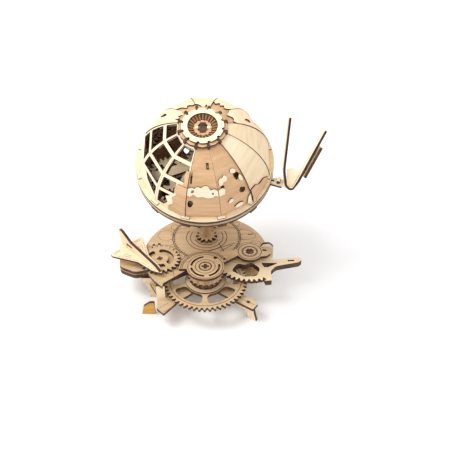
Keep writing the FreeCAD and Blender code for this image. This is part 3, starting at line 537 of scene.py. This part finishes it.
def blob(centre, size, seed, points=14, rough=0.28):  # an uneven outline, such as an island or a bay
    dice = random.Random(seed)
    waves = [(dice.uniform(0, 6.28), dice.uniform(0.4, 1.0) / order) for order in range(2, 6)]
    line = []
    for index in range(points):
        turn = 2 * math.pi * index / points
        wobble = 1 + rough * sum(size_ * math.sin(order * turn + shift)
                                 for order, (shift, size_) in enumerate(waves, start=2))
        line.append((centre[0] + size[0] * wobble * math.cos(turn),
                     centre[1] + size[1] * wobble * math.sin(turn)))
    return line


def skinPanels():
    rim = goreRim(skin["foot"], skin["poleEdge"], skin["half"])
    holes = {
        0: [[(5.2, 52.4), (9.4, 52.2), (9.6, 57.8), (5.0, 58.0)], blob((-12.6, 45), (1.3, 5), 5, 9),
            blob((-11.5, 21), (2.2, 4.4), 8, 10)],
        1: [blob((8.8, 39.5), (3.2, 4.2), 3, 12), blob((8.9, 24.6), (2.9, 3.2), 4, 12),
            blob((-9.5, 35.5), (2.0, 1.3), 11, 9)],
        5: [blob((3, 36), (6, 9), 21)], 6: [blob((-4, 48), (6, 7), 22)], 7: [blob((2, 30), (7, 10), 23)],
        8: [blob((-3, 50), (6, 8), 24), blob((6, 24), (4, 5), 25)],
    }
    outer = (2, 3)                                # the pale panels lie one sheet further out
    for index in range(9):
        radius = skin["radius"] + (1.0 if index in outer else 0.0)
        face = woods["pale"] if index in outer else woods["tan"]
        mesh = goreMesh(index, [rim] + holes.get(index, []), radius)
        pieceFrom(mesh, f"skin_panel_{index + 1:02d}", [face, woods["burnt"]], "globe",
                  [f"gore_{index + 1:02d}"])


skinPanels()


seam = {"panels": (1, 2, 3), "inner": 14.25, "outer": 14.98, "sheet": 0.7}


def seamLines():  # the burnt rims of the overlapping panels on the right
    strips = []
    for index in seam["panels"]:
        line = [(seam["inner"], 5.0), (seam["outer"], 5.0), (seam["outer"], 69.0), (seam["inner"], 69.0)]
        strips.append(goreMesh(index, [line], skin["radius"] + 1.3, seam["sheet"]))
    pieceFrom(joined(strips, "seams"), "panel_seams", [woods["burnt"]] * 2, "globe")


seamLines()


lattice = {"foot": 4.75, "rows": ((8.0, 22.5), (25.6, 36.4), (39.6, 54.4), (57.6, 68.0)), "bar": 13.1}


def latticePanels():  # the open left front, with solid land at its foot
    bar = lattice["bar"]
    rim = goreRim(lattice["foot"], skin["poleEdge"], skin["half"])
    low, lower, upper, top = lattice["rows"]
    open_ = lambda row, left=-bar, right=bar: [(left, row[0]), (right, row[0]),
                                               (right, row[1]), (left, row[1])]
    windows = {
        9: [open_(lower), open_(upper), open_(top)],
        10: [[(-2, 17), (bar, 12), (bar, low[1]), (-7, low[1])], open_(lower), open_(upper), open_(top)],
        11: [[(-bar, 9), (-7, 8), (-3, 13), (-6, 19), (-1, low[1]), (-bar, low[1])], open_(lower, right=2),
             open_(upper), open_(top)],
    }
    meshes = [goreMesh(index, [rim] + loops, skin["radius"] + 0.4) for index, loops in windows.items()]
    pieceFrom(joined(meshes, "lattice"), "open_lattice", [woods["cream"], woods["burnt"]], "globe",
              ["lattice_panel"])
    lands = [goreMesh(11, [[(-2, 5), (14.6, 5), (14.6, 36.5), (4, 36.2), (1.5, 30), (5, 26), (1, 21), (3, 14),
                            (-1.5, 10)]], skin["radius"] + skin["overlay"], 0.8),
             goreMesh(11, [[(9.5, 37), (14.6, 37), (14.6, 50), (10.5, 50.5), (8.8, 46), (10.6, 41)]],
                      skin["radius"] + skin["overlay"], 0.8)]
    pieceFrom(joined(lands, "shore"), "shore_panel", [woods["tan"], woods["burnt"]], "globe")


latticePanels()


def overlays():  # land glued over the skin
    over = skin["radius"] + skin["overlay"]
    band = [(-14.6, 30.5), (-12, 29.2), (-9, 31.4), (-5, 28.6), (0, 29.0), (4.5, 27.6), (9.5, 28.4),
            (12, 30.2), (14.7, 29.4), (14.7, 34.8), (11.5, 36.2), (8, 35.0), (5.5, 38.6), (1.5, 38.9),
            (-1.5, 37.0),
            (-5.5, 38.2), (-8, 36.4), (-11.4, 37.6), (-14.6, 36.4)]
    pieces = {
        "belt_land": (0, [[band, blob((-9.8, 34), (1.6, 1.3), 2, 9), blob((9.8, 32), (1.0, 1.0), 6, 9)]]),
        "front_islands": (1, [[[(-14.6, 29.2), (-9, 29.0), (-7.5, 33), (-10.5, 35.2), (-14.6, 35)]],
                              [[(-13, 38.2), (-9.6, 37.6), (-7.4, 39.4), (-3.4, 39.2), (-2.2, 42.4),
                                (-5.2, 45), (-8, 43.2), (-10.4, 43.8), (-12.8, 42)]],
                              [blob((6.5, 44.8), (3.2, 2.2), 12, 12)],
                              [blob((11.2, 36.5), (1.7, 3.4), 13, 10)],
                              [blob((-4.5, 19.5), (2.4, 2.0), 14, 11)],
                              [blob((2.5, 10.5), (4.2, 2.3), 15, 12)],
                              [[(9.8, 6), (14.6, 6), (14.6, 17), (12.2, 15.4), (10.8, 10.5)]]]),
        "east_shore": (2, [[[(-14.6, 5.2), (8.5, 5.2), (10.5, 10), (4.5, 14.8), (-3, 15.6), (-7.5, 19.8),
                             (-14.6, 21)]]]),
    }
    for name, (index, outlines) in pieces.items():
        extra = 1.0 if index in (2, 3) else 0.0
        meshes = [goreMesh(index, loops, over + extra, skin["overlay"]) for loops in outlines]
        face = woods["tan"] if name == "east_shore" else woods["cream"]
        pieceFrom(joined(meshes, name), name, [face, woods["burnt"]], "globe")
    coast = {4: (33, 62), 5: (14, 58), 6: (20, 66), 7: (12, 60), 8: (30, 67)}
    lands = []
    for index, (low, high) in coast.items():
        dice = random.Random(40 + index)
        half = skin["half"] - 0.4
        bottom = [(-half + 2 * half * step / 7, low + dice.uniform(-4, 4)) for step in range(8)]
        top = [(half - 2 * half * step / 7, high + dice.uniform(-4, 3)) for step in range(8)]
        lakes = [blob((dice.uniform(-6, 6), low + 0.4 * (high - low)), (3.2, 4.0), 60 + index, 11)]
        lands.append(goreMesh(index, [bottom + top] + lakes, over, skin["overlay"]))
    pieceFrom(joined(lands, "backLand"), "far_lands", [woods["pale"], woods["burnt"]], "globe")


overlays()
print("skin done")


def southSkin():
    rim = goreRim(skin["foot"], 77.0, skin["half"])
    below = Matrix.Scale(-1, 4, Vector((0, 0, 1)))
    meshes = []
    for index in range(12):
        lakes = []
        if index % 3:
            lakes = [blob(((-1) ** index * 4, 30 + 7 * (index % 3)), (4.6, 6.5), 80 + index, 12)]
        mesh = goreMesh(index, [rim] + lakes, skin["radius"])
        mesh.transform(globePlace @ below @ globePlace.inverted())
        mesh.flip_normals()
        meshes.append(mesh)
    pieceFrom(joined(meshes, "south"), "south_panels", [woods["tan"], woods["burnt"]], "globe",
              ["south_skin"])


southSkin()


# rings, tabs and the polar hub
def blocksOnGlobe(name, settings, wood):  # a ring of blocks about the globe's axis
    pieceFrom(ringMesh(globePlace, settings, woods[wood]), name, [woods[wood]], "globe")


equator = {"tabRadius": 63.4, "top": 4.9, "bottom": -4.9}


def equatorTabs():
    tabs = {"count": 12, "radius": equator["tabRadius"], "start": 15 - 90, "size": (2.4, 7.4, 1.3),
            "height": equator["top"] + 0.55}
    blocksOnGlobe("rib_tabs", tabs, "cream")
    rims = dict(tabs, size=(2.9, 8.2, 0.5), height=equator["top"] + 0.2)
    blocksOnGlobe("rib_tab_slots", rims, "burnt")
    ends = {"count": 12, "radius": 63.6, "start": 15 - 90, "size": (4.2, 8.6, 3.4),
            "height": equator["bottom"] - 1.7}
    blocksOnGlobe("rib_ends", ends, "burnt")


def disc(radiusOut, radiusIn, low, high, place, count=96, teeth=0, depth=0.0, polygon=0):  # a flat ring
    def reach(turn):
        if polygon:
            half = math.pi / polygon
            folded = (turn + half) % (2 * half) - half
            return radiusOut * math.cos(half) / math.cos(folded)
        if teeth:
            phase = (turn * teeth / (2 * math.pi)) % 1
            return radiusOut - (depth if phase < 0.28 else 0)
        return radiusOut
    turns = [2 * math.pi * (index + 0.5) / count for index in range(count)]
    rings = []
    build = bmesh.new()
    inside = lambda turn: radiusIn
    for radiusOf, height in ((reach, high), (reach, low), (inside, low), (inside, high)):
        rings.append([build.verts.new(place @ Vector((radiusOf(turn) * math.cos(turn) * mm,
                                                      radiusOf(turn) * math.sin(turn) * mm, height * mm)))
                      for turn in turns])
    for row, slot in enumerate((1, 0, 1, 0)):
        here, ahead = rings[row], rings[(row + 1) % 4]
        for index in range(count):
            after = (index + 1) % count
            face = build.faces.new((here[index], here[after], ahead[after], ahead[index]))
            face.material_index = slot
    bmesh.ops.recalc_face_normals(build, faces=build.faces)
    layer = build.loops.layers.uv.new("wood")
    back = place.inverted()
    for face in build.faces:
        for corner in face.loops:
            local = back @ corner.vert.co
            corner[layer].uv = (local.x, local.y)
    mesh = bpy.data.meshes.new("disc")
    build.to_mesh(mesh)
    build.free()
    return shaded(mesh)


pole = {"low": 54.5, "high": 59.9, "top": 61.8, "outer": 22.4, "inner": 18.2, "cup": 13.4}


def polarHub():
    low, high = pole["low"], pole["high"]
    turned = globePlace @ Matrix.Rotation(math.radians(15), 4, "Z")
    plies = [disc(pole["outer"], pole["inner"], low, low + 2.3, turned, polygon=12),
             disc(pole["outer"] - 0.5, pole["inner"], high - 2.3, high, turned, polygon=12)]
    pieceFrom(joined(plies, "dodecagon"), "pole_frame", [woods["tan"], woods["burnt"]], "globe")
    hoops = {"count": 12, "radius": 20.4, "start": 15 - 90, "size": (4.6, 2.4, 6.6),
             "height": (low + high) / 2 + 0.4}
    blocksOnGlobe("pole_clips", hoops, "burnt")
    crown = [disc(18.9, pole["cup"], high - 1.0, pole["top"], turned, count=144, teeth=12, depth=1.6)]
    pieceFrom(joined(crown, "crown"), "pole_crown", [woods["cream"], woods["burnt"]], "globe",
              ["polar_ring"])
    fins = {"count": 24, "radius": 11.0, "size": (4.6, 1.3, 1.3), "height": 59.2, "lean": -27.5}
    blocksOnGlobe("cup_fins", fins, "cup")
    cap = [disc(8.3, 5.0, 56.2, 58.3, turned, count=48, teeth=12, depth=0.9)]
    pieceFrom(joined(cap, "cap"), "axle_collar", [woods["tan"], woods["burnt"]], "globe")
    blade = {"count": 1, "radius": 0.0, "start": 90, "size": (10.6, 5.0, 1.2), "height": 58.4}
    blocksOnGlobe("axle_slot", blade, "burnt")
    keys = {"count": 2, "radius": 5.4, "start": 0, "size": (3.0, 2.6, 1.6), "height": 58.4}
    blocksOnGlobe("axle_keys", keys, "cream")


equatorTabs()
polarHub()
print("globe rings and pole done")


# lines burnt into the table, and painted shadow lines drawn the same way
dial = {"radius": 35.4, "inner": 34.0, "tick": 1.9, "count": 60, "rings": (21.0, 17.0)}


def dialLines():
    top = topOf("top_plate")
    place = flatPlace(spindleAxle.x, spindleAxle.y, top)
    lines = [arcLine(dial["radius"], step=3), arcLine(dial["inner"], step=3)]
    lines += [arcLine(radius, 150, 390, step=4) for radius in dial["rings"]]
    lines += [[(-15, -30.6), (29.5, -9.5)], [(19, -25.6), (12.5, -9.0)], [(14.0, -22.5), (27.0, -12.5)],
              arcLine(12.5, 200, 340, step=6)]
    drawLineMarks("dial_rings", "base", lines, place, 0.75)
    ticks = {"count": dial["count"], "radius": dial["inner"] - dial["tick"] / 2,
             "size": (dial["tick"], 0.6, 0.05), "height": 0.025}
    outer = {"count": 30, "radius": dial["radius"] + 1.6, "size": (1.8, 0.6, 0.05), "height": 0.025,
             "start": 6}
    for name, settings in (("dial_ticks", ticks), ("dial_outer_ticks", outer)):
        pieceFrom(ringMesh(place, settings, woods["engraved_and_shadow"]), name, [woods["engraved_and_shadow"]], "base")


def tableShadowLines():
    # painted shadow: dark arcs on the top plate where the overlay plate, the crescent gear and the lever hub
    # shade it
    top = topOf("top_plate")
    main = flatPlace(mainAxle.x, mainAxle.y, top)
    lines = [arcLine(29.4, 52, 172), arcLine(27.6, 66, 176), arcLine(31.2, 172, 196)]
    lines += [rayLine(27.6, 29.4, turn) for turn in range(70, 172, 8)]
    drawLineMarks("overlay_shadow_lines", "base", lines, main)
    crescent = flatPlace(crescentAxle.x, crescentAxle.y, top)
    drawLineMarks("crescent_shadow_lines", "base", [arcLine(23.4, 40, 170), arcLine(24.8, 58, 150)], crescent)
    lever = flatPlace(leverAxle.x, leverAxle.y, top)
    drawLineMarks("lobe_shadow_lines", "base", [arcLine(17.2, 62, 182), arcLine(15.6, 70, 176)], lever)


def coastLines():  # loose map outlines over the round top plate
    middle = (mainAxle + spindleAxle) / 2
    place = flatPlace(middle.x, middle.y, topOf("top_plate"))
    lines = []
    lands = ((-43, 29, 9, 8), (-30, 43, 8, 5), (41, 30, 9, 8), (50, 14, 6, 6), (-49, 8, 5, 5),
             (27, 46, 8, 4))                    # middle and half sizes of each outline
    for index, (x, y, wide, deep) in enumerate(lands):
        shape = blob((x, y), (wide, deep), 120 + index, 26, 0.28)
        lines.append(shape + [shape[0]])
    lines = [[point for point in line if math.hypot(*point) < 61] for line in lines]
    drawLineMarks("map_outlines", "base", [line + [line[0]] for line in lines], place, 0.36)


overlay = {"hub": (11.7, 7.9, 6.9)}


def overlayLines():
    top = topOf("overlay_plate")
    main = flatPlace(mainAxle.x, mainAxle.y, top)
    lines = [arcLine(24.8, 42, 178), arcLine(22.9, 130, 178), arcLine(22.9, 42, 58)]
    lines += [rayLine(22.9, 24.8, turn) for turn in range(44, 178, 4)]
    lines += [[(9.6, 13.2), (13.0, 10.6), (15.4, 13.8), (12.0, 16.4), (9.6, 13.2)],
              [(20.2, 13.0), (22.6, 11.0), (25.4, 14.4), (23.0, 16.4), (20.2, 13.0)]]
    lines += [[(21.0 + 0.9 * step, 7.4 + 0.75 * step), (19.6 + 0.9 * step, 9.2 + 0.75 * step)]
              for step in range(9)]
    drawLineMarks("overlay_lines", "base", lines, main, 0.5)
    lever = flatPlace(leverAxle.x, leverAxle.y, top)
    drawLineMarks("lever_hub_rings", "base", [arcLine(radius, step=6) for radius in overlay["hub"]], lever, 0.7)


spool = {"rings": (17.1, 9.7, 6.3, 5.5)}


def spoolLines():
    place = flatPlace(mainAxle.x, mainAxle.y, topOf("spool_disc"))
    drawLineMarks("spool_rings", "main", [arcLine(radius, step=5) for radius in spool["rings"]], place, 0.65)
    gear = flatPlace(mainAxle.x, mainAxle.y, bottomOf("main_gear") + 3 * mm)
    drawLineMarks("gear_rings", "main", [arcLine(35.6, step=3)], gear, 0.55)


def tongueLines():
    place = flatPlace(mainAxle.x, mainAxle.y, topOf("lower_plate"))
    lines = []
    for turn in (-34, -140):
        for side in (-1, 1):
            along = Vector((math.cos(math.radians(turn)), math.sin(math.radians(turn))))
            across = Vector((-along.y, along.x)) * side * 3.4
            lines.append([tuple(along * 43.5 + across), tuple(along * 55 + across)])
    drawLineMarks("tongue_lines", "base", lines, place, 0.35)


def fauna():  # one small grazing animal, in a plain shape
    top = topOf("top_plate")
    place = flatPlace(spindleAxle.x + 45.5 * mm, spindleAxle.y + 4 * mm, top)
    shape = [(-2.9, 0.3), (-2.4, 1.2), (-0.9, 1.4), (0.8, 1.1), (1.9, 1.7), (2.8, 1.5), (2.5, 0.8),
             (1.9, 0.6), (1.7, -0.9), (1.2, -0.9), (1.1, 0.1), (-1.2, 0.1), (-1.5, -0.9), (-2.0, -0.9),
             (-2.0, 0.2)]
    flat = lambda u, v: place @ Vector((u * mm, v * mm, 0.04 * mm))
    mesh = panelMesh([shape], flat, (0, 0), lambda u, v: (u * mm, v * mm), 0.05 * mm)
    pieceFrom(mesh, "grazer_mark", [woods["burnt"], woods["burnt"]], "base")


axleMarks = {"spool": (3.6, 1.5), "hub": (4.2, 2.2), "crescent": (2.9, 1.1)}  # reach and half width


def crossMark(name, body, reach, arm, place):  # the burnt cross of an axle's end
    corners = [(arm, reach), (arm, arm), (reach, arm), (reach, -arm), (arm, -arm), (arm, -reach),
               (-arm, -reach), (-arm, -arm), (-reach, -arm), (-reach, arm), (-arm, arm), (-arm, reach)]
    flat = lambda u, v: place @ Vector((u * mm, v * mm, 0.05 * mm))
    mesh = panelMesh([corners], flat, (0, 0), lambda u, v: (u * mm, v * mm), 0.08 * mm)
    pieceFrom(mesh, name, [woods["burnt"], woods["burnt"]], body)


def axleCrosses():
    places = {"spool": ("main", flatPlace(mainAxle.x, mainAxle.y, topOf("spool_disc"))),
              "hub": ("base", flatPlace(leverAxle.x, leverAxle.y, topOf("lever_axle"), 45)),
              "crescent": ("crescent",
                           flatPlace(crescentAxle.x, crescentAxle.y, topOf("crescent_shaft"), 20))}
    for name, (body, place) in places.items():
        crossMark(name + "_cross", body, *axleMarks[name], place)


shuttleLook = {"turn": -46, "dash": 2.6, "gap": 1.4}


def dashes(start, end):  # a dashed line as short pieces
    start, end = Vector(start), Vector(end)
    along = (end - start).normalized()
    reach, pieces = 0.0, []
    while reach + shuttleLook["dash"] < (end - start).length:
        pieces.append([tuple(start + along * reach), tuple(start + along * (reach + shuttleLook["dash"]))])
        reach += shuttleLook["dash"] + shuttleLook["gap"]
    return pieces


def shuttleLines():
    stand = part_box("dock_stand")
    middle = (stand[0] + stand[1]) / 2
    place = flatPlace(middle.x, middle.y, topOf("shuttle_wing"), shuttleLook["turn"])
    lines = []
    for side in (-1, 1):
        lines += dashes((42, 2.6 * side), (22, 4.9 * side)) + dashes((20, 5.2 * side), (-2, 17.2 * side))
        lines += [[(-6.5, 8.5 * side), (-6.5, 16.5 * side)], [(-4.8, 9.5 * side), (-4.8, 16.2 * side)],
                  [(2, 8 * side), (9, 6.2 * side), (9, 8.6 * side), (3, 11.4 * side), (2, 8 * side)]]
    drawLineMarks("shuttle_lines", "shuttle", lines, place, 0.4)


for stage in (dialLines, tableShadowLines, coastLines, overlayLines, spoolLines, tongueLines, fauna, shuttleLines,
              axleCrosses):
    stage()
print("engraving done")


# CAD plates that keep their shape
craftLook = {"lean": -20}                       # degrees about +X


def dressPlates():
    wood = {"table": ("top_plate", "lower_plate", "overlay_plate", "dock_pad", "gear_collars"),
            "gear": ("main_gear", "crescent_gear", "drive_pinion", "spindle_gear", "spindle_collar",
                     "crown_pinion"),
            "lever": ("lever_upper", "lever_lower", "shuttle_wing"), "spool": ("spool_disc",),
            "globe": ("north_ring", "south_ring", "orbit_ring", "sun_gear", "south_gear",
                      "planet_gear_1", "planet_gear_2", "planet_gear_3", "axle_block", "craft_bracket"),
            "rod": ("front_axle", "spindle_shaft", "lever_axle", "crescent_shaft", "drum"),
            "globeRod": ("globe_axle",),
            "rib": ("north_ribs", "south_ribs"), "burnt": ("polar_cup", "south_hub")}
    turned = {"leg_front_right": -34, "leg_front_left": 0, "leg_rear_right": 46, "leg_rear_left": 134,
              "left_wall": 0, "lock_hook": 0, "pedestal_left": 90, "pedestal_right": 90, "dock_stand": -46,
              "shuttle_keel": -46, "foot_pad": 0}
    nodes = frame["nodes"]
    for kind, names in wood.items():
        for name in names:
            setMaterial(nodes[name], woods[kind])
    for index, (name, turn) in enumerate(turned.items()):
        swing = math.radians(turn)
        normal = Vector((-math.sin(swing), math.cos(swing), 0))
        if name == "foot_pad":
            # the foot pad's orange faces are a painted glow
            setMaterial(nodes[name], paintedGlowWood("AmberPlyPaintedGlow", normal))
        else:
            setMaterial(nodes[name], plateWood("Ply_" + name, normal, "face", 0.2, float(index)))
    lean = math.radians(craftLook["lean"])
    across = Vector((0, math.cos(lean), math.sin(lean)))
    reaches = [across.dot(vertex.co) for vertex in nodes["craft_panel"].data.vertices]
    middle = (min(reaches) + max(reaches)) / 2
    for name in ("craft_wings", "craft_panel"):
        setMaterial(nodes[name], plateWood("Ply_" + name, across, "cream", 0.1, 3.0, middle))


def setMaterial(node, material):
    node.data.materials.clear()
    node.data.materials.append(material)


dressPlates()


# floor, light and camera
def studio():
    floor = bpy.data.meshes.new("floor")
    floor.from_pydata([(-4, -4, 0), (4, -4, 0), (4, 4, 0), (-4, 4, 0)], [], [(0, 1, 2, 3)])
    ground = bpy.data.objects.new("floor", floor)
    floor.materials.append(floorPaint())
    bpy.context.scene.collection.objects.link(ground)
    lamps = (("key", (-0.60, -0.10, 1.05), 0.5, 7.0), ("fill", (0.9, -0.7, 0.8), 0.9, 0.8),
             ("back", (0.1, 0.9, 0.9), 0.8, 1.2))
    for name, place, size, power in lamps:
        light = bpy.data.lights.new(name, "AREA")
        light.size = size
        light.energy = power
        lamp = bpy.data.objects.new(name, light)
        lamp.location = place
        lamp.rotation_euler = (Vector((0, 0, 0.09)) - Vector(place)).to_track_quat("-Z", "Y").to_euler()
        bpy.context.scene.collection.objects.link(lamp)
    world = bpy.data.worlds.new("studio")
    world.use_nodes = True
    world.node_tree.nodes["Background"].inputs["Color"].default_value = (1, 1, 1, 1)
    world.node_tree.nodes["Background"].inputs["Strength"].default_value = 1.0
    bpy.context.scene.world = world
    bpy.context.scene.view_settings.view_transform = "Standard"


view = {"place": (14.1, -521.4, 487.9), "pitch": 39.2, "lens": 52.9}  # millimetres and degrees


def camera():
    data = bpy.data.cameras.new("camera")
    data.lens = view["lens"]
    data.sensor_width = 36
    eye = bpy.data.objects.new("camera", data)
    eye.location = Vector(view["place"]) * mm
    eye.rotation_euler = (math.radians(90 - view["pitch"]), 0, 0)
    bpy.context.scene.collection.objects.link(eye)
    bpy.context.scene.camera = eye


studio()
camera()
bpy.context.view_layer.update()
